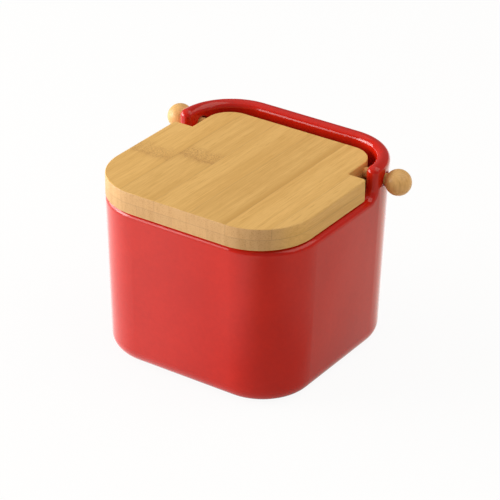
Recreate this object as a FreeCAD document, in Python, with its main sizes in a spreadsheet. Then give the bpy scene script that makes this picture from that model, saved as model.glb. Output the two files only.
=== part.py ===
import FreeCAD, Part
import math
import os

import Sketcher

# A ceramic salt crock with a hinged bamboo lid.
# Origin: centre of the standing face. +X to the right, +Y to the back, +Z up, in millimetres.

doc = FreeCAD.newDocument("salt_crock")

# Driving dimensions: each one is a cell of the sheet, with its name beside it and as its alias.

DIMENSIONS = {
    # crock, with its outside measured at the level of the low rim
    "crock_width": 123.8,
    "crock_depth": 122.4,
    "crock_corner": 32.0,
    "low_rim_height": 90.1,
    "wall_lean": 1.8,
    "wall_thickness": 7.5,
    "floor_thickness": 8.0,
    "base_edge_round": 8.5,
    "inner_floor_round": 10.0,
    # rim and ears
    "rim_flat": 0.5,
    "ear_straight": 0.3,
    "ear_foot_round": 4.5,
    "ear_nose_margin": 0.4,
    "ear_hole_round": 0.8,
    "ear_land_over_hole": 1.6,
    # pivot
    "pivot_from_back": 24.9,
    "pivot_play": 0.9,
    "dowel_diameter": 5.8,
    "dowel_in_lid": 18.0,
    "dowel_end_chamfer": 0.8,
    "glue_gap": 0.15,
    "knob_diameter": 14.0,
    "knob_cap": 5.5,
    "knob_clearance": 0.3,
    # lid
    "lid_rest_gap": 0.7,
    "lid_overhang": 2.0,
    "lid_side_inset": 1.9,
    "lid_rear_gap": 5.3,
    "lid_tail_side_gap": 5.7,
    "lid_front_corner_step": 0.5,
    "lid_tail_corner_step": 10.5,
    "lid_edge_ease": 0.6,
    "lid_shoulder_corner": 2.2,
    "shoulder_clearance": 1.2,
    "ply_thickness": 6.0,
    # slats, where those between the two at the sides share the rest of the lid's width evenly
    "slats_per_ply": 6,
    "top_left_slat": 24.75,
    "top_right_slat": 9.25,
    "bottom_left_slat": 14.0,
    "bottom_right_slat": 20.0,
}

sizes = doc.addObject("Spreadsheet::Sheet", "sizes")
for row, (name, value) in enumerate(DIMENSIONS.items(), start=1):
    sizes.set(f"A{row}", name)
    sizes.set(f"B{row}", str(value))
    sizes.setAlias(f"B{row}", name)
doc.recompute()

# Places that several pieces share, as expressions on the sheet.

LEAN = "tan(sizes.wall_lean * 1 deg)"
LID_UNDERSIDE = "(sizes.low_rim_height + sizes.lid_rest_gap)"
PIVOT_Y = "(sizes.crock_depth / 2 - sizes.pivot_from_back)"
PIVOT_Z = f"({LID_UNDERSIDE} + sizes.ply_thickness)"
RIM_ROUND = "((sizes.wall_thickness - sizes.rim_flat) / 2)"
NOSE_ROUND = f"({RIM_ROUND} + sizes.ear_nose_margin)"
EAR_FRONT = f"(sizes.crock_depth / 2 - sizes.crock_corner - {NOSE_ROUND} - sizes.ear_straight)"
EAR_HOLE_RADIUS = "(sizes.dowel_diameter / 2 + sizes.pivot_play)"
CROCK_TOP = (
    f"({PIVOT_Z} + {EAR_HOLE_RADIUS} + sizes.ear_hole_round + sizes.ear_land_over_hole + {RIM_ROUND})"
)
CORNER_CURVES_IN = (
    "(sizes.crock_corner"
    " - sqrt(sizes.crock_corner ^ 2 - max(0; sizes.crock_corner - sizes.pivot_from_back) ^ 2))"
)
EAR_OUTSIDE = (
    f"(sizes.crock_width / 2 + ({PIVOT_Z} - sizes.low_rim_height) * {LEAN} - {CORNER_CURVES_IN})"
)
KNOB_X = f"({EAR_OUTSIDE} + sizes.knob_clearance + sizes.knob_diameter / 2)"
DOWEL_IN_KNOB = "(sizes.knob_diameter - sizes.knob_cap)"
TAIL_HALF_WIDTH = "(sizes.crock_width / 2 - sizes.wall_thickness - sizes.lid_tail_side_gap)"
TAIL_CORNER = "(sizes.crock_corner - sizes.wall_thickness - sizes.lid_tail_corner_step)"
LID_HALF_WIDTH = "(sizes.crock_width / 2 - sizes.lid_side_inset)"
LID_FRONT = "(-sizes.crock_depth / 2 - sizes.lid_overhang)"
LID_FRONT_CORNER = "(sizes.crock_corner - sizes.lid_front_corner_step)"
LID_SHOULDER = f"({EAR_FRONT} - sizes.ear_foot_round - sizes.shoulder_clearance)"
LID_TAIL_END = "(sizes.crock_depth / 2 - sizes.wall_thickness - sizes.lid_rear_gap)"
GLUED_BORE_RADIUS = "(sizes.dowel_diameter / 2 + sizes.glue_gap)"

TOUCH = 1e-4  # two places nearer than this are the same place
SIDES = {"left": -1, "right": 1}


def number(expression):
    """Work out an expression on the sheet."""
    return float(sizes.evalExpression(expression))


# Sketches and features

def new_body(label):
    body = doc.addObject("PartDesign::Body", label)
    body.Label = label
    return body


def new_sketch(body, name, plane, lift=None):
    """Start a sketch on one of the body's own origin planes, raised along its normal by an expression."""
    sketch = body.newObject("Sketcher::SketchObject", name)
    support = next(item for item in body.Origin.OriginFeatures if item.Role == plane)
    sketch.AttachmentSupport = [(support, "")]
    sketch.MapMode = "FlatFace"
    if lift:
        sketch.setExpression("AttachmentOffset.Base.z", lift)
    return sketch


def bind(sketch, constraint, name, expression):
    """Add a constraint and drive its value with an expression."""
    index = sketch.addConstraint(constraint)
    sketch.renameConstraint(index, name)
    sketch.setExpression(f"Constraints.{name}", expression)


def draw_outline(sketch, corners):
    """Draw a closed outline of level and upright lines, with a tangent arc at each rounded corner.

    Corners are (x, y, radius) expressions, listed anticlockwise. A radius of None leaves a corner sharp,
    and only corners that point outwards are rounded.
    """
    count = len(corners)
    spots = [FreeCAD.Vector(number(x), number(y), 0) for x, y, radius in corners]
    radii = [number(radius) if radius else 0.0 for x, y, radius in corners]
    for i in range(count):
        after = (i + 1) % count
        along = spots[after].sub(spots[i]).normalize()
        start = spots[i] + along * radii[i]
        end = spots[after] - along * radii[after]
        line = sketch.addGeometry(Part.LineSegment(start, end), False)
        if abs(along.x) > abs(along.y):
            sketch.addConstraint(Sketcher.Constraint("Horizontal", line))
            place = Sketcher.Constraint("DistanceY", -1, 1, line, 1, start.y)
            bind(sketch, place, f"line_{i}_y", corners[i][1])
        else:
            sketch.addConstraint(Sketcher.Constraint("Vertical", line))
            place = Sketcher.Constraint("DistanceX", -1, 1, line, 1, start.x)
            bind(sketch, place, f"line_{i}_x", corners[i][0])
    for i, (x, y, radius) in enumerate(corners):
        before = (i - 1) % count
        if not radius:
            sketch.addConstraint(Sketcher.Constraint("Coincident", before, 2, i, 1))
            continue
        towards = spots[(i + 1) % count].sub(spots[i]).normalize()
        back = spots[before].sub(spots[i]).normalize()
        centre = spots[i] + (towards + back) * radii[i]
        first = math.atan2(-towards.y, -towards.x)
        circle = Part.Circle(centre, FreeCAD.Vector(0, 0, 1), radii[i])
        arc = sketch.addGeometry(Part.ArcOfCircle(circle, first, first + math.pi / 2), False)
        sketch.addConstraint(Sketcher.Constraint("Tangent", before, 2, arc, 1))
        sketch.addConstraint(Sketcher.Constraint("Tangent", arc, 2, i, 1))
        bind(sketch, Sketcher.Constraint("Radius", arc, radii[i]), f"corner_{i}_radius", radius)


def centred_rectangle(half_x, half_y, radius):
    """Corners of a rounded rectangle about the origin, anticlockwise."""
    return [
        (f"-({half_x})", f"-({half_y})", radius),
        (half_x, f"-({half_y})", radius),
        (half_x, half_y, radius),
        (f"-({half_x})", half_y, radius),
    ]


def draw_circle(sketch, x, y, radius):
    """Draw a circle whose centre and radius are expressions."""
    centre = FreeCAD.Vector(number(x), number(y), 0)
    circle = Part.Circle(centre, FreeCAD.Vector(0, 0, 1), number(radius))
    index = sketch.addGeometry(circle, False)
    bind(sketch, Sketcher.Constraint("DistanceX", -1, 1, index, 3, centre.x), "centre_x", x)
    bind(sketch, Sketcher.Constraint("DistanceY", -1, 1, index, 3, centre.y), "centre_y", y)
    bind(sketch, Sketcher.Constraint("Radius", index, circle.Radius), "circle_radius", radius)


def pad(body, sketch, length, taper=None, backwards=False):
    """Raise a solid from a sketch along its normal, or against it when backwards."""
    feature = body.newObject("PartDesign::Pad", f"{sketch.Name}_pad")
    feature.Profile = sketch
    feature.Reversed = backwards
    feature.setExpression("Length", length)
    if taper:
        feature.setExpression("TaperAngle", taper)
    doc.recompute()


def cut(body, sketch, length, taper=None, along_normal=False, both_ways=False):
    """Cut a sketch out of a body, and check that material was really taken away."""
    volume_before = body.Shape.Volume
    feature = body.newObject("PartDesign::Pocket", f"{sketch.Name}_cut")
    feature.Profile = sketch
    feature.Reversed = along_normal
    if both_ways:
        feature.SideType = "Symmetric"
    feature.setExpression("Length", length)
    if taper:
        feature.setExpression("TaperAngle", taper)
    doc.recompute()
    if not body.Shape.Volume < volume_before - TOUCH:
        raise RuntimeError(f"{feature.Name} took nothing away")


def round_edges(body, name, radius, wanted, kind="Fillet", setting="Radius"):
    """Round the edges of the body's newest shape that wanted picks by the edge and the faces it joins."""
    base = body.Tip
    picked = [
        f"Edge{i}"
        for i, edge in enumerate(base.Shape.Edges, start=1)
        if wanted(edge, base.Shape.ancestorsOfType(edge, Part.Face))
    ]
    if not picked:
        raise RuntimeError(f"{name} found no edges")
    feature = body.newObject(f"PartDesign::{kind}", name)
    feature.Base = (base, picked)
    feature.setExpression(setting, radius)
    doc.recompute()


def lies_at(edge, axis, place):
    """True if the whole edge lies at one place along an axis."""
    box = edge.BoundBox
    low = getattr(box, f"{axis}Min")
    high = getattr(box, f"{axis}Max")
    return abs(low - place) < TOUCH and abs(high - place) < TOUCH


# Crock: one fired piece with leaning walls, a low rim in front and a raised rim with two ears behind.

def is_rim_lip(edge, faces):
    """True for an edge between a wall and what runs along its top: rims, ear fronts, rounds between."""
    low_rim = number("sizes.low_rim_height")

    def along_top(face):
        if isinstance(face.Surface, Part.Cylinder):
            return abs(face.Surface.Axis.x) > 1 - TOUCH
        return isinstance(face.Surface, Part.Plane) and face.CenterOfMass.z > low_rim - TOUCH

    return [along_top(face) for face in faces].count(True) == 1


def is_hole_mouth(edge, faces):
    """True for an edge where a pivot hole meets the inside or the outside of an ear."""
    return edge.Closed and any(isinstance(face.Surface, Part.Cylinder) for face in faces)


def build_crock():
    crock = new_body("crock")

    def plan_at(height, inset):
        """Half sizes and corner radius of the wall's plan at a height, drawn in by an inset."""
        drawn_in = f"({inset} + (sizes.low_rim_height - ({height})) * {LEAN})"
        return (
            f"sizes.crock_width / 2 - {drawn_in}",
            f"sizes.crock_depth / 2 - {drawn_in}",
            f"sizes.crock_corner - {drawn_in}",
        )

    foot = new_sketch(crock, "foot_plan", "XY_Plane")
    draw_outline(foot, centred_rectangle(*plan_at("0", "0")))
    pad(crock, foot, CROCK_TOP, taper="sizes.wall_lean")
    round_edges(crock, "base_edge", "sizes.base_edge_round", lambda edge, faces: lies_at(edge, "Z", 0))

    hollow = new_sketch(crock, "hollow_plan", "XY_Plane", lift="sizes.floor_thickness")
    draw_outline(hollow, centred_rectangle(*plan_at("sizes.floor_thickness", "sizes.wall_thickness")))
    cut(crock, hollow, f"{CROCK_TOP} - sizes.floor_thickness", taper="sizes.wall_lean", along_normal=True)
    floor = number("sizes.floor_thickness")
    round_edges(crock, "inner_floor_edge", "sizes.inner_floor_round",
                lambda edge, faces: lies_at(edge, "Z", floor))

    # the front and sides are lowered as far back as the ears
    step = new_sketch(crock, "low_rim_step", "YZ_Plane")
    draw_outline(step, [
        ("-sizes.crock_depth", "sizes.low_rim_height", None),
        (EAR_FRONT, "sizes.low_rim_height", None),
        (EAR_FRONT, f"2 * {CROCK_TOP}", None),
        ("-sizes.crock_depth", f"2 * {CROCK_TOP}", None),
    ])
    cut(crock, step, "2 * sizes.crock_width", both_ways=True)
    ear_front = number(EAR_FRONT)
    low_rim = number("sizes.low_rim_height")
    top = number(CROCK_TOP)
    round_edges(crock, "ear_feet", "sizes.ear_foot_round",
                lambda edge, faces: lies_at(edge, "Y", ear_front) and lies_at(edge, "Z", low_rim))
    round_edges(crock, "ear_noses", NOSE_ROUND,
                lambda edge, faces: lies_at(edge, "Y", ear_front) and lies_at(edge, "Z", top))
    round_edges(crock, "rim_lips", RIM_ROUND, is_rim_lip)

    hole = new_sketch(crock, "pivot_hole", "YZ_Plane")
    draw_circle(hole, PIVOT_Y, PIVOT_Z, EAR_HOLE_RADIUS)
    cut(crock, hole, "2 * sizes.crock_width", both_ways=True)
    round_edges(crock, "pivot_hole_edges", "sizes.ear_hole_round", is_hole_mouth)
    return crock


# Lid: a board of two plies, each of bamboo slats glued edge to edge, cut to one outline and drilled.

def build_lid_board():
    """The whole board, from which each slat is taken. It is no piece of its own."""
    board = new_body("lid_board")
    outline = new_sketch(board, "lid_outline", "XY_Plane", lift=LID_UNDERSIDE)
    draw_outline(outline, [
        (f"-{LID_HALF_WIDTH}", LID_FRONT, LID_FRONT_CORNER),
        (LID_HALF_WIDTH, LID_FRONT, LID_FRONT_CORNER),
        (LID_HALF_WIDTH, LID_SHOULDER, "sizes.lid_shoulder_corner"),
        (TAIL_HALF_WIDTH, LID_SHOULDER, None),
        (TAIL_HALF_WIDTH, LID_TAIL_END, TAIL_CORNER),
        (f"-{TAIL_HALF_WIDTH}", LID_TAIL_END, TAIL_CORNER),
        (f"-{TAIL_HALF_WIDTH}", LID_SHOULDER, None),
        (f"-{LID_HALF_WIDTH}", LID_SHOULDER, "sizes.lid_shoulder_corner"),
    ])
    pad(board, outline, "2 * sizes.ply_thickness")
    underside = number(LID_UNDERSIDE)
    upper_face = number(f"{LID_UNDERSIDE} + 2 * sizes.ply_thickness")
    round_edges(board, "eased_edges", "sizes.lid_edge_ease",
                lambda edge, faces: lies_at(edge, "Z", underside) or lies_at(edge, "Z", upper_face))
    for side, sign in SIDES.items():
        bore = new_sketch(board, f"dowel_bore_{side}", "YZ_Plane", lift=f"{sign} * {TAIL_HALF_WIDTH}")
        draw_circle(bore, PIVOT_Y, PIVOT_Z, GLUED_BORE_RADIUS)
        cut(board, bore, "sizes.dowel_in_lid + sizes.glue_gap", along_normal=sign < 0)
    return board


def slat_joints(ply):
    """Places of the glue joints across the lid, as expressions, from left to right."""
    shared = f"(2 * {LID_HALF_WIDTH} - sizes.{ply}_left_slat - sizes.{ply}_right_slat)"
    inner_slat = f"({shared} / (sizes.slats_per_ply - 2))"
    count = round(number("sizes.slats_per_ply")) - 1
    return [f"(sizes.{ply}_left_slat - {LID_HALF_WIDTH} + {i} * {inner_slat})" for i in range(count)]


def build_slats(board, ply, level):
    """Take one ply's slats out of the board. The ply lies level plies above the lid's underside."""
    edges = [f"-{LID_HALF_WIDTH}", *slat_joints(ply), LID_HALF_WIDTH]
    slats = []
    for place, (left, right) in enumerate(zip(edges, edges[1:]), start=1):
        label = f"lid_{ply}_slat_{place}"
        blank = doc.addObject("Part::Box", f"{label}_blank")
        blank.setExpression("Length", f"{right} - {left}")
        blank.setExpression("Width", f"{LID_TAIL_END} - {LID_FRONT}")
        blank.setExpression("Height", "sizes.ply_thickness")
        blank.setExpression("Placement.Base.x", left)
        blank.setExpression("Placement.Base.y", LID_FRONT)
        blank.setExpression("Placement.Base.z", f"{LID_UNDERSIDE} + {level} * sizes.ply_thickness")
        slat = doc.addObject("Part::Common", label)
        slat.Label = label
        slat.Base = board
        slat.Tool = blank
        slats.append(slat)
    return slats


# Pivots: a dowel glued into the lid's tail on each side, and a ball knob glued on its outer end.

def build_dowel(side, sign):
    dowel = new_body(f"pivot_dowel_{side}")
    inner_end = f"({TAIL_HALF_WIDTH} - sizes.dowel_in_lid)"
    outer_end = f"({KNOB_X} - sizes.knob_diameter / 2 + {DOWEL_IN_KNOB})"
    section = new_sketch(dowel, f"dowel_section_{side}", "YZ_Plane", lift=f"{sign} * {inner_end}")
    draw_circle(section, PIVOT_Y, PIVOT_Z, "sizes.dowel_diameter / 2")
    pad(dowel, section, f"{outer_end} - {inner_end}", backwards=sign < 0)
    round_edges(dowel, f"dowel_ends_{side}", "sizes.dowel_end_chamfer",
                lambda edge, faces: edge.Closed, kind="Chamfer", setting="Size")
    return dowel


def place_on_pivot(item, x, sign):
    """Put a turned shape on the pivot line at x, with its own axis pointing outwards along that line."""
    item.Placement.Rotation = FreeCAD.Rotation(FreeCAD.Vector(0, 1, 0), sign * 90)
    item.setExpression("Placement.Base.x", f"{sign} * {x}")
    item.setExpression("Placement.Base.y", PIVOT_Y)
    item.setExpression("Placement.Base.z", PIVOT_Z)


def build_knob(side, sign):
    label = f"ball_knob_{side}"
    ball = doc.addObject("Part::Sphere", f"{label}_ball")
    ball.setExpression("Radius", "sizes.knob_diameter / 2")
    place_on_pivot(ball, KNOB_X, sign)
    bore = doc.addObject("Part::Cylinder", f"{label}_bore")
    bore.setExpression("Radius", GLUED_BORE_RADIUS)
    bore.setExpression("Height", f"{DOWEL_IN_KNOB} + sizes.glue_gap")
    place_on_pivot(bore, f"({KNOB_X} - sizes.knob_diameter / 2)", sign)
    knob = doc.addObject("Part::Cut", label)
    knob.Label = label
    knob.Base = ball
    knob.Tool = bore
    return knob


pieces = [build_crock()]
lid_board = build_lid_board()
pieces += build_slats(lid_board, "bottom", level=0)
pieces += build_slats(lid_board, "top", level=1)
for side_name, side_sign in SIDES.items():
    pieces.append(build_dowel(side_name, side_sign))
    pieces.append(build_knob(side_name, side_sign))
doc.recompute()

# Check every object, then write one file per piece.

for item in doc.Objects:
    if "Invalid" in item.State or "Error" in item.State:
        raise RuntimeError(f"{item.Label} failed: {item.State}")
for piece in pieces:
    if piece.Shape.isNull() or not piece.Shape.isValid():
        raise RuntimeError(f"{piece.Label} has no valid shape")

os.makedirs("parts", exist_ok=True)
for piece in pieces:
    piece.Shape.exportStep(f"parts/{piece.Label}.step")
    print(f"{piece.Label}: {piece.Shape.Volume / 1000:.2f} cm3, {len(piece.Shape.Solids)} solid")
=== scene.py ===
# %% [markdown]
# A salt crock: a red glazed ceramic box with a bamboo lid that tips back on two wooden dowels.
# Every piece of it is a solid that was built at its real size, so nothing has to be modelled twice here.
# What this lesson adds is the look: glaze, bamboo and turned wood, a white studio, and the camera.
# We load the finished solids first, and a small helper reads the box that each piece fills.

# %% Load the crock
import math

import bpy
from mathutils import Matrix, Vector


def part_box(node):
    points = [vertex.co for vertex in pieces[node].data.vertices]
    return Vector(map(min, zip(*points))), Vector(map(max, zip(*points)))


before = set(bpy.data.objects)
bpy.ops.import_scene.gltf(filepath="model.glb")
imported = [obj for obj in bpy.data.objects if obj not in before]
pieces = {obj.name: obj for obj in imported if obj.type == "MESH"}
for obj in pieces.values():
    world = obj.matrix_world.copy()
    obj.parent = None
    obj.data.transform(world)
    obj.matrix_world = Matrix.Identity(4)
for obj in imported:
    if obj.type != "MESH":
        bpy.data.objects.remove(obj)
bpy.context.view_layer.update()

# %% [markdown]
# The camera stands to the right of the front and looks down on the lid through a long lens.
# It could be pushed about by hand until the picture looks right, but numbers are easier to repeat:
# an azimuth round the crock, an elevation over the table, a distance, and the point it aims at.
# A long lens from far away keeps the walls almost parallel, as product photographs do.
# The camera's own right, up and back directions then become the columns of its matrix.

# %% Camera
AZIMUTH = math.radians(33.77)
ELEVATION = math.radians(28.24)
ROLL = math.radians(-0.82)
DISTANCE = 1.2172
LENS_MM = 176.2
AIM = Vector((0.0330, -0.0463, 0.0825))


def direction(azimuth, elevation):
    """Unit vector towards a place round the crock: azimuth 0 is the front, a quarter turn the right side."""
    level = math.cos(elevation)
    return Vector((math.sin(azimuth) * level, -math.cos(azimuth) * level, math.sin(elevation)))


def studio_camera():
    """Camera at AIM plus DISTANCE along its back direction, with its right and up rolled about that line."""
    back = direction(AZIMUTH, ELEVATION)
    level_right = Vector((math.cos(AZIMUTH), math.sin(AZIMUTH), 0))
    level_up = back.cross(level_right)
    right = level_right * math.cos(ROLL) - level_up * math.sin(ROLL)
    up = level_right * math.sin(ROLL) + level_up * math.cos(ROLL)
    lens = bpy.data.cameras.new("studio_camera")
    lens.lens = LENS_MM
    camera = bpy.data.objects.new("studio_camera", lens)
    bpy.context.scene.collection.objects.link(camera)
    turn = Matrix((right, up, back)).transposed().to_4x4()
    camera.matrix_world = Matrix.Translation(AIM + back * DISTANCE) @ turn
    bpy.context.scene.camera = camera
    return camera


camera = studio_camera()
print("camera at", [round(v, 3) for v in camera.location])

# %% [markdown]
# Materials are graphs of nodes, and most of the typing goes into making and linking them.
# They could be drawn in the shader editor, but a few helpers let a graph read like a short calculation:
# one adds a node and fills its inputs with numbers or with other sockets, and the rest name common steps.
# All lengths inside the materials are millimetres on the piece, so a pattern keeps its real scale.

# %% Helpers for node graphs
def node(tree, kind, inputs=None, **settings):
    """Add one node: settings are its own properties, and each input takes a value or a socket to link."""
    made = tree.nodes.new(f"ShaderNode{kind}")
    for name, value in settings.items():
        setattr(made, name, value)
    for name, value in (inputs or {}).items():
        if isinstance(value, bpy.types.NodeSocket):
            tree.links.new(value, made.inputs[name])
        else:
            made.inputs[name].default_value = value
    return made


def math_node(tree, operation, *values):
    """One step of arithmetic on sockets or numbers, returned as a socket."""
    return node(tree, "Math", dict(enumerate(values)), operation=operation).outputs[0]


def ramp(tree, value, start, end, low=0.0, high=1.0):
    """Carry a value smoothly from start..end over to low..high, held at both ends."""
    inputs = {"Value": value, "From Min": start, "From Max": end, "To Min": low, "To Max": high}
    return node(tree, "MapRange", inputs, interpolation_type="SMOOTHSTEP").outputs["Result"]


def mix_colour(tree, factor, first, second):
    """Blend from the first colour to the second as the factor goes from 0 to 1."""
    return node(tree, "Mix", {0: factor, 6: first, 7: second}, data_type="RGBA").outputs[2]


def noise(tree, place, grain, detail=2.0, roughness=0.5):
    """Soft random values about 0.5, whose lumps are about one grain (in millimetres) wide."""
    inputs = {"Vector": place, "Scale": 1 / grain, "Detail": detail, "Roughness": roughness}
    return node(tree, "TexNoise", inputs).outputs["Fac"]


def new_finish(name):
    """Start a material and return it with its graph and its Principled shader."""
    material = bpy.data.materials.new(name)
    material.use_nodes = True
    tree = material.node_tree
    shader = next(item for item in tree.nodes if item.type == "BSDF_PRINCIPLED")
    return material, tree, shader


def millimetres(tree):
    """The place on the piece in millimetres: the vector, and its x, y and z on their own."""
    place = node(tree, "TexCoord").outputs["Object"]
    scaled = node(tree, "VectorMath", {0: place, "Scale": 1000.0}, operation="SCALE").outputs["Vector"]
    return scaled, *node(tree, "SeparateXYZ", {0: scaled}).outputs


def weighted(tree, *pairs):
    """The sum of sockets, each times its own weight."""
    parts = [math_node(tree, "MULTIPLY", value, weight) for value, weight in pairs]
    total = parts[0]
    for part in parts[1:]:
        total = math_node(tree, "ADD", total, part)
    return total


def relief(tree, shader, height):
    """Bump the surface by a height in millimetres."""
    bump = node(tree, "Bump", {"Height": height, "Distance": 0.001})
    tree.links.new(bump.outputs["Normal"], shader.inputs["Normal"])


def paint(piece, material):
    """Give a piece one material in place of those it has."""
    piece.data.materials.clear()
    piece.data.materials.append(material)


# %% [markdown]
# The crock is stoneware dipped in a red gloss glaze, all but the foot it stands on in the kiln.
# One flat red would do for a toy. A real glaze is a layer of coloured glass that is nowhere quite even:
# broad clouds where the dip ran thicker, fine mottling, and a deeper red where it gathers low on the wall.
# It reflects like glass, so the Principled shader gets a low roughness, and a faint waviness in its relief
# makes the reflections swim a little, as they do on anything that was cast, fired and glazed.

# %% Red glaze
GLAZE_THIN = (0.58, 0.012, 0.003, 1)
GLAZE_THICK = (0.50, 0.009, 0.002, 1)
BARE_CLAY = (0.52, 0.42, 0.31, 1)
CLAY_SPECK = (0.36, 0.27, 0.19, 1)
CLOUD_WIDTH = 38.0
MOTTLE_WIDTH = 2.6
GATHERS_FROM, GATHERS_TO = 16.0, 3.0
WAVE_WIDTH, WAVE_HEIGHT = 26.0, 0.10
PEEL_WIDTH, PEEL_HEIGHT = 4.5, 0.004
GLAZE_IOR = 1.45


def red_glaze():
    """Glaze thickness = clouds + mottle + gathering low down, and bare clay on the lowest half millimetre."""
    material, tree, shader = new_finish("red_glaze")
    place, _, _, z = millimetres(tree)
    clouds = noise(tree, place, CLOUD_WIDTH, detail=3.0)
    mottle = noise(tree, place, MOTTLE_WIDTH, detail=4.0, roughness=0.6)
    uneven = weighted(tree, (clouds, 0.65), (mottle, 0.35))
    gathered = ramp(tree, z, GATHERS_TO, GATHERS_FROM, 0.22, 0.0)
    thickness = math_node(tree, "ADD", ramp(tree, uneven, 0.3, 0.7), gathered)
    red = mix_colour(tree, thickness, GLAZE_THIN, GLAZE_THICK)

    speck = ramp(tree, noise(tree, place, 0.7, detail=3.0), 0.56, 0.68)
    clay = mix_colour(tree, speck, BARE_CLAY, CLAY_SPECK)
    edge = math_node(tree, "ADD", z, math_node(tree, "MULTIPLY", noise(tree, place, 3.0), 0.5))
    bare = ramp(tree, edge, 0.45, 0.75, 1.0, 0.0)
    tree.links.new(mix_colour(tree, bare, red, clay), shader.inputs["Base Color"])

    gloss = ramp(tree, mottle, 0.3, 0.7, 0.08, 0.13)
    dull = math_node(tree, "MULTIPLY", bare, 0.8)
    tree.links.new(math_node(tree, "ADD", gloss, dull), shader.inputs["Roughness"])
    shader.inputs["IOR"].default_value = GLAZE_IOR

    waves = noise(tree, place, WAVE_WIDTH, detail=0.0)
    peel = noise(tree, place, PEEL_WIDTH, detail=1.0)
    relief(tree, shader, weighted(tree, (waves, WAVE_HEIGHT), (peel, PEEL_HEIGHT)))
    return material


paint(pieces["crock"], red_glaze())
print("glazed:", pieces["crock"].name)

# %% [markdown]
# The lid is bamboo: two plies, each of six slats glued edge to edge, with the grain from front to back.
# A picture of bamboo could be wrapped round it, but then the ends would show the pattern of the face.
# So the grain is worked out in space: noise that is stretched along the slat gives the fibres,
# a shorter stretch gives the dark dashes where a bundle of them comes to the surface and dives again,
# and where the surface faces front or back the cut fibres show as dots instead.
# Each slat is a strip from another cane, so each gets its own tone and its own shift of the pattern,
# thin dark lines where it is glued, and here and there a knuckle: the ring where the cane was closed,
# with a cloud of flecks behind it where the fibres cross.

# %% Bamboo
BAMBOO_PALE = (0.81, 0.485, 0.152)
BAMBOO_DEEP = (0.67, 0.375, 0.10)
BAMBOO_DENSE = (0.62, 0.335, 0.08)
CUT_FIBRES = (0.63, 0.37, 0.155)
CUT_DOTS = (0.50, 0.265, 0.085)
GLUE_BROWN = (0.30, 0.165, 0.06, 1)
KNUCKLE_BROWN = (0.50, 0.255, 0.07, 1)
DENSE_WIDTH = 7.0
FIBRE_WIDTH, STREAK_WIDTH, PATCH_WIDTH = 0.5, 2.4, 9.0
DRAWN_OUT = 0.03
KNUCKLE_SWAY = 7.0
CLOUD_BEHIND, FLECK_WIDTH = 4.5, 0.6
RING_SPREAD, CLOUD_SPREAD, STAIN_SPREAD = (0.4, 2.2), (2.5, 9.5), (0.5, 7.0)
RING_SHARE, CLOUD_SHARE, STAIN_SHARE = 0.22, 0.85, 0.16
BUNDLES_PER_MM = 1.3
LACQUER_IOR = 1.45
DASH_WIDTH, DASH_DRAWN_OUT = 0.55, 0.05


def toned(colour, tone):
    """A colour made lighter or darker by a tone near 1, with an alpha of 1."""
    return (*(channel * tone for channel in colour), 1)


def near_line(tree, coordinate, place, core, reach):
    """1 within core of a place along a coordinate, falling to 0 at reach from it."""
    away = math_node(tree, "ABSOLUTE", math_node(tree, "SUBTRACT", coordinate, place))
    return ramp(tree, away, core, reach, 1.0, 0.0)


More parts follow.
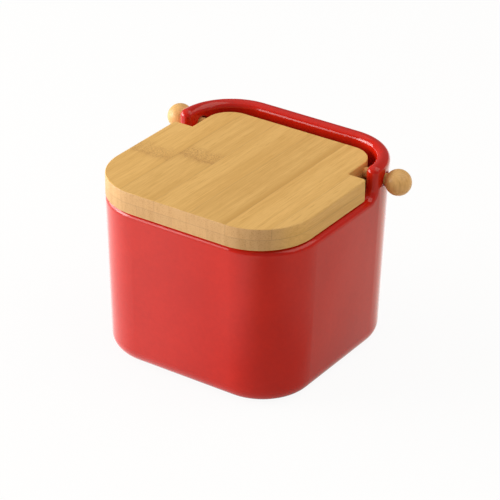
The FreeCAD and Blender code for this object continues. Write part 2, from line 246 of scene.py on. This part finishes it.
def bamboo(name, shift, tone, dense_side, glued_x, seam_z, knuckles):
    """Bamboo with its fibres along y, glue lines at the given x and z, and knuckles at the given y.

    dense_side is (x, share): towards that side, the outer wall of the cane, the fibres lie closer.
    """
    material, tree, shader = new_finish(name)
    place, x, y, z = millimetres(tree)
    drawn_out = {"Vector": place, "Location": (shift, shift, 0), "Scale": (1.0, DRAWN_OUT, 1.0)}
    along = node(tree, "Mapping", drawn_out).outputs["Vector"]
    fibres = noise(tree, along, FIBRE_WIDTH, detail=3.0, roughness=0.65)
    streaks = noise(tree, along, STREAK_WIDTH, detail=2.0)
    patches = noise(tree, along, PATCH_WIDTH, detail=1.0)
    grain = weighted(tree, (fibres, 0.4), (streaks, 0.3), (patches, 0.3))
    pale = ramp(tree, grain, 0.36, 0.64)
    face = mix_colour(tree, pale, toned(BAMBOO_DEEP, tone), toned(BAMBOO_PALE, tone))
    outer_x, dense_share = dense_side
    dense = math_node(tree, "MULTIPLY", near_line(tree, x, outer_x, 0.0, DENSE_WIDTH), dense_share)
    face = mix_colour(tree, dense, face, toned(BAMBOO_DENSE, tone))
    drawn_short = {"Vector": place, "Location": (shift, shift, 0), "Scale": (1.0, DASH_DRAWN_OUT, 1.0)}
    dashes = noise(tree, node(tree, "Mapping", drawn_short).outputs["Vector"], DASH_WIDTH, detail=1.0)
    dashes = ramp(tree, dashes, 0.56, 0.74, 0.0, 0.7)
    face = mix_colour(tree, dashes, face, toned(BAMBOO_DENSE, tone))

    wavy_y = weighted(tree, (y, 1.0), (noise(tree, place, 8.0), KNUCKLE_SWAY))
    flecks = ramp(tree, noise(tree, place, FLECK_WIDTH, detail=3.0, roughness=0.6), 0.44, 0.62)
    for knuckle, strength in knuckles:
        middle = knuckle + KNUCKLE_SWAY / 2
        ring = near_line(tree, wavy_y, middle, *RING_SPREAD)
        cloud = near_line(tree, wavy_y, middle + CLOUD_BEHIND, *CLOUD_SPREAD)
        cloud = math_node(tree, "MULTIPLY", cloud, flecks)
        stain = near_line(tree, wavy_y, middle, *STAIN_SPREAD)
        mark = weighted(tree, (ring, RING_SHARE), (cloud, CLOUD_SHARE), (stain, STAIN_SHARE))
        mark = math_node(tree, "MULTIPLY", mark, strength)
        face = mix_colour(tree, mark, face, KNUCKLE_BROWN)

    flat_y = node(tree, "Mapping", {"Vector": place, "Scale": (1.0, 0.1, 1.0)}).outputs["Vector"]
    bundles = node(tree, "TexVoronoi", {"Vector": flat_y, "Scale": BUNDLES_PER_MM}).outputs["Distance"]
    dots = ramp(tree, bundles, 0.12, 0.45, 0.8, 0.0)
    upright = node(tree, "Mapping", {"Vector": place, "Scale": (1.0, 0.1, 0.15)}).outputs["Vector"]
    bands = noise(tree, upright, 3.0)
    cut = math_node(tree, "ADD", dots, ramp(tree, bands, 0.4, 0.7, 0.0, 0.4))
    ends = mix_colour(tree, cut, toned(CUT_FIBRES, tone), toned(CUT_DOTS, tone))
    normal = node(tree, "TexCoord").outputs["Normal"]
    facing = math_node(tree, "ABSOLUTE", node(tree, "SeparateXYZ", {0: normal}).outputs["Y"])
    end_grain = ramp(tree, facing, 0.35, 0.85)
    wood = mix_colour(tree, end_grain, face, ends)

    glue = near_line(tree, z, seam_z, 0.08, 0.3)
    for joint in glued_x:
        glue = math_node(tree, "MAXIMUM", glue, near_line(tree, x, joint, 0.04, 0.24))
    glue = math_node(tree, "MULTIPLY", glue, 0.3)
    tree.links.new(mix_colour(tree, glue, wood, GLUE_BROWN), shader.inputs["Base Color"])

    tree.links.new(ramp(tree, grain, 0.36, 0.64, 0.58, 0.46), shader.inputs["Roughness"])
    shader.inputs["IOR"].default_value = LACQUER_IOR
    relief(tree, shader, weighted(tree, (grain, 0.05), (glue, -0.05)))
    return material


# %% [markdown]
# Now every slat gets its own bamboo. The glue joints lie at the slats' own sides, apart from the two
# outer sides of the lid, so they are read from the pieces instead of being typed in again.
# The tones follow what one sees on a real lid: most strips alike, one or two a shade darker or paler.

# %% Lid slats
SLATS = 6
TOP_TONES = (1.04, 0.99, 1.0, 0.97, 1.01, 0.98)
UNDER_TONES = (0.93, 0.97, 0.94, 0.98, 0.93, 0.96)
LID_FRONT = min(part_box(f"lid_top_slat_{i}")[0].y for i in range(1, SLATS + 1)) * 1000
DENSE_SHARES = (0.2, 0.25, 0.3, 0.85, 0.1, 0.1)
SLAT_SHIFT = 17.3
PLY_SHIFTS = {"top": 0.0, "bottom": 131.0}
KNUCKLES_FROM_FRONT = {
    "lid_top_slat_1": [(43.0, 0.7)],
    "lid_top_slat_2": [(52.0, 1.0)],
    "lid_bottom_slat_3": [(30.0, 0.6)],
    "lid_bottom_slat_5": [(78.0, 0.7)],
}


def finish_slat(ply, number, tone, seam_z):
    """Give one slat its bamboo, with glue lines on the sides that it shares with its neighbours."""
    name = f"lid_{ply}_slat_{number}"
    low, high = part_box(name)
    glued_x = []
    if number > 1:
        glued_x.append(low.x * 1000)
    if number < SLATS:
        glued_x.append(high.x * 1000)
    marks = KNUCKLES_FROM_FRONT.get(name, [])
    knuckles = [(LID_FRONT + distance, strength) for distance, strength in marks]
    dense_side = (high.x * 1000, DENSE_SHARES[number - 1])
    shift = SLAT_SHIFT * number + PLY_SHIFTS[ply]
    finish = bamboo(f"bamboo_{ply}_{number}", shift, tone, dense_side, glued_x, seam_z, knuckles)
    paint(pieces[name], finish)
    return glued_x


ply_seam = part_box("lid_top_slat_1")[0].z * 1000
for number in range(1, SLATS + 1):
    joints = finish_slat("top", number, TOP_TONES[number - 1], ply_seam)
    finish_slat("bottom", number, UNDER_TONES[number - 1], ply_seam)
    print("slat", number, "glued at x =", [round(x, 1) for x in joints])

# %% [markdown]
# The dowels and their balls are turned from one kind of plain wood. A dowel has its grain along the pivot,
# and a ball has it upright, because it was turned from a strip and drilled across.
# So the same graph serves both and only the direction of the grain differs: streaks run along it,
# and growth rings lie about it where the wood is cut across. The lathe's fine grooves go round the pivot.

# %% Turned wood
TURNED_PALE = (0.80, 0.465, 0.165, 1)
TURNED_DEEP = (0.67, 0.365, 0.115, 1)
TURNED_STREAK = 1.1
RING_WIDTH = 0.9
LATHE_PITCH, LATHE_DEPTH = 0.55, 0.002


def turned_wood(name, grain_axis):
    """Wood of a turned piece: streaks along the grain, rings about it where the surface faces along it."""
    material, tree, shader = new_finish(f"turned_{name}")
    place, x, y, z = millimetres(tree)
    low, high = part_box(name)
    centre = (low + high) * 500
    stretch = [1.0, 1.0, 1.0]
    stretch["xyz".index(grain_axis)] = 0.07
    along = node(tree, "Mapping", {"Vector": place, "Scale": stretch}).outputs["Vector"]
    streaks = noise(tree, along, TURNED_STREAK, detail=3.0, roughness=0.6)

    across = [math_node(tree, "SUBTRACT", value, middle)
              for axis, value, middle in zip("xyz", (x, y, z), centre) if axis != grain_axis]
    squares = [math_node(tree, "MULTIPLY", value, value) for value in across]
    radius = math_node(tree, "SQRT", math_node(tree, "ADD", *squares))
    uneven = weighted(tree, (radius, 1.0), (noise(tree, place, 4.0), 1.2))
    turns = math_node(tree, "SINE", math_node(tree, "MULTIPLY", uneven, 2 * math.pi / RING_WIDTH))
    rings = math_node(tree, "ADD", math_node(tree, "MULTIPLY", turns, 0.14), 0.5)

    normal = node(tree, "SeparateXYZ", {0: node(tree, "TexCoord").outputs["Normal"]}).outputs
    facing = math_node(tree, "ABSOLUTE", normal[grain_axis.upper()])
    cut_across = ramp(tree, facing, 0.6, 0.97)
    grain = node(tree, "Mix", {0: cut_across, 2: streaks, 3: rings}).outputs[0]
    wood = mix_colour(tree, ramp(tree, grain, 0.3, 0.7), TURNED_DEEP, TURNED_PALE)
    tree.links.new(wood, shader.inputs["Base Color"])
    tree.links.new(ramp(tree, grain, 0.3, 0.7, 0.5, 0.36), shader.inputs["Roughness"])
    shader.inputs["IOR"].default_value = LACQUER_IOR
    grooves = math_node(tree, "SINE", math_node(tree, "MULTIPLY", x, 2 * math.pi / LATHE_PITCH))
    relief(tree, shader, weighted(tree, (grooves, LATHE_DEPTH), (grain, 0.03)))
    return material


for side in ("left", "right"):
    paint(pieces[f"pivot_dowel_{side}"], turned_wood(f"pivot_dowel_{side}", "x"))
    paint(pieces[f"ball_knob_{side}"], turned_wood(f"ball_knob_{side}", "z"))
    print("turned: dowel and ball,", side)

# %% [markdown]
# A product shot stands on white. The floor could simply be lit until it burns out, but then the crock
# would burn out with it. Instead the floor is a warm white paper that takes light and shadow like any other,
# and rays that come straight from the camera see it mostly as a plain white glow.
# Rays that were mirrored by the glaze see it glow too, so the walls carry a pale haze. An even glow would
# make that haze as flat as paint. In a studio the table is dim where the camera stands and bright beside
# the lamps, so in mirrors it brightens to the left, to the back and a little to the right, where it is warm
# like the lamp there, and a dark band is left down the near corner.

# %% White floor
FLOOR_REACH = 6.0
FLOOR_PAPER = (0.92, 0.88, 0.80, 1)
FLOOR_HEIGHT = -0.0001
WHITE = (1.0, 1.0, 1.0, 1)
WARM_GLOW = (1.0, 0.97, 0.84, 1)
WHITE_TO_CAMERA = 0.93
GLOW_TO_MIRRORS = 0.75
DIM_GLOW = 0.29
# per side: its azimuth in degrees, where along it the glow starts and is full in millimetres, its strength
GLOWING_SIDES = {
    "left": (-56, -15.0, 85.0, 1.0),
    "back": (-120, -100.0, 22.0, 1.62),
    "right": (120, 55.0, 135.0, 0.55),
}
WARM_STARTS, WARM_FULL = 20.0, 90.0


def seen_straight(tree, to_camera, to_mirrors):
    """A share for rays from the camera or through glass, another for mirrored rays, and 0 for all others."""
    path = node(tree, "LightPath").outputs
    direct = math_node(tree, "MAXIMUM", path["Is Camera Ray"], path["Is Transmission Ray"])
    shown = math_node(tree, "MULTIPLY", direct, to_camera)
    return math_node(tree, "MAXIMUM", shown, math_node(tree, "MULTIPLY", path["Is Glossy Ray"], to_mirrors))


def uneven_glow(tree):
    """Colour and strength of the floor's glow: even to the camera, brighter to some sides in mirrors."""
    _, x, y, _ = millimetres(tree)
    mirrored = DIM_GLOW
    for azimuth, starts, full, glow in GLOWING_SIDES.values():
        towards = direction(math.radians(azimuth), 0.0)
        along = weighted(tree, (x, towards.x), (y, towards.y))
        mirrored = math_node(tree, "MAXIMUM", mirrored, ramp(tree, along, starts, full, DIM_GLOW, glow))
    warm = seen_straight(tree, 0.0, ramp(tree, x, WARM_STARTS, WARM_FULL))
    return mix_colour(tree, warm, WHITE, WARM_GLOW), seen_straight(tree, 1.0, mirrored)


def white_floor():
    """A large square a hair below the foot, warm paper under the lights and white to the camera."""
    signs = ((-1, -1), (1, -1), (1, 1), (-1, 1))
    corners = [(x * FLOOR_REACH, y * FLOOR_REACH, FLOOR_HEIGHT) for x, y in signs]
    mesh = bpy.data.meshes.new("studio_floor")
    mesh.from_pydata(corners, [], [(0, 1, 2, 3)])
    floor = bpy.data.objects.new("studio_floor", mesh)
    bpy.context.scene.collection.objects.link(floor)
    material, tree, shader = new_finish("white_floor")
    shader.inputs["Base Color"].default_value = FLOOR_PAPER
    shader.inputs["Roughness"].default_value = 1.0
    shader.inputs["Specular IOR Level"].default_value = 0.0
    colour, strength = uneven_glow(tree)
    glow = node(tree, "Emission", {"Color": colour, "Strength": strength})
    share = seen_straight(tree, WHITE_TO_CAMERA, GLOW_TO_MIRRORS)
    blend = node(tree, "MixShader", {0: share, 1: shader.outputs[0], 2: glow.outputs[0]})
    output = next(item for item in tree.nodes if item.type == "OUTPUT_MATERIAL")
    tree.links.new(blend.outputs[0], output.inputs["Surface"])
    paint(floor, material)


white_floor()

# %% [markdown]
# The main light is a low, wide soft box at the left. It makes the front glow and lines the rear rim.
# One bare bulb would do the same with hard edges, but glaze mirrors its lamps, so large ones look calmer.
# A second box beside it reaches the front and one overhead keeps the lid bright. A warm one high on the right
# lifts that wall, yet leaves the groove under the lid dark.
# The world adds an even glow, dim as a light and white where it is seen.

# %% Lamps and world
AMBIENT = 0.25
MIRRORED_ROOM = 0.2
LAMPS_FACE = Vector((0, 0, 0.05))
KEY_POWER = 13.7
FRONT_POWER = 8.0
TOP_POWER = 4.9
RIGHT_POWER = 13.5
WARM_WHITE = (1.0, 0.93, 0.82)


def soft_box(name, azimuth, elevation, distance, size, power, colour=(1.0, 1.0, 1.0)):
    """A flat lamp of a given width and height at a place round the crock, facing the middle of it."""
    light = bpy.data.lights.new(name, "AREA")
    light.shape = "RECTANGLE"
    light.size, light.size_y = size
    light.energy = power
    light.color = colour
    lamp = bpy.data.objects.new(name, light)
    away = direction(math.radians(azimuth), math.radians(elevation))
    lamp.location = LAMPS_FACE + away * distance
    lamp.rotation_euler = away.to_track_quat("Z", "Y").to_euler()
    bpy.context.scene.collection.objects.link(lamp)


def white_world():
    """White all round: full where it is seen, dim as a light and in mirrors."""
    world = bpy.data.worlds.new("studio")
    world.use_nodes = True
    tree = world.node_tree
    background = next(item for item in tree.nodes if item.type == "BACKGROUND")
    shown = seen_straight(tree, 1.0, MIRRORED_ROOM)
    strength = math_node(tree, "MAXIMUM", shown, AMBIENT)
    tree.links.new(strength, background.inputs["Strength"])
    background.inputs["Color"].default_value = (1, 1, 1, 1)
    bpy.context.scene.world = world


soft_box("key_light", -66, 15, 1.2, (1.15, 0.6), KEY_POWER)
soft_box("front_light", -48, 12, 1.4, (1.0, 0.6), FRONT_POWER)
soft_box("top_light", -100, 80, 1.5, (2.0, 2.0), TOP_POWER)
soft_box("right_light", 115, 55, 1.6, (1.7, 1.7), RIGHT_POWER, WARM_WHITE)
white_world()
bpy.context.scene.view_settings.view_transform = "Standard"
print("lamps in W:", KEY_POWER, FRONT_POWER, TOP_POWER, RIGHT_POWER, "ambient:", AMBIENT)
